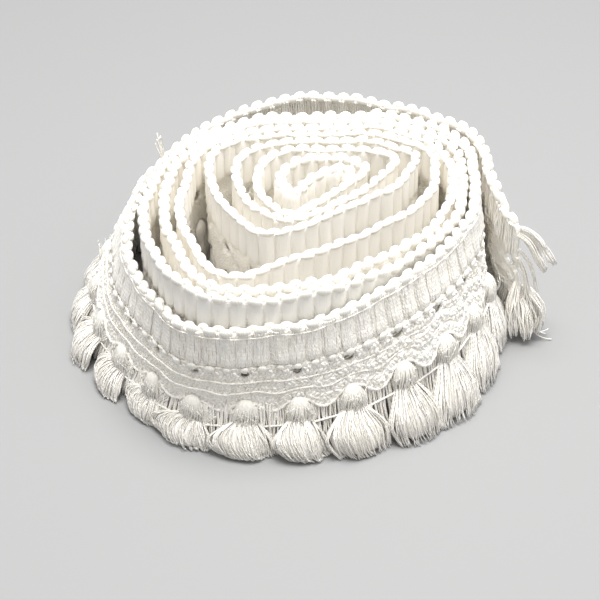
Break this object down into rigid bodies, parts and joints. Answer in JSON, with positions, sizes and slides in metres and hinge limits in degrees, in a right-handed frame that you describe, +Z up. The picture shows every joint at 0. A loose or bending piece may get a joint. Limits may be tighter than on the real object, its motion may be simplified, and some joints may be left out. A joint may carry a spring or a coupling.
{
  "type": "tassel fringe trim",
  "caption": "Crocheted tassel fringe trim wound into a loose roll that stands on its tassels, with scalloped top edge, openwork band and a frayed loose end.",
  "frame": {"origin": "middle of the bounding box, on the surface that the roll stands on", "axes": "+X to the right in the picture, along the roll's greatest width, +Y to the back, +Z up, across the strip's width"},
  "size_m": [0.217, 0.1994, 0.0683],
  "materials": {
    "wound_heading": "matt cotton crochet and gimp",
    "tassel_fringe": "soft matt cotton yarn",
    "frayed_end": "loose cut cotton yarn"
  },
  "bodies": {
    "root": {"wound_heading": "wound_heading", "tassel_fringe": "tassel_fringe", "frayed_end": "frayed_end"}
  },
  "joints": []
}
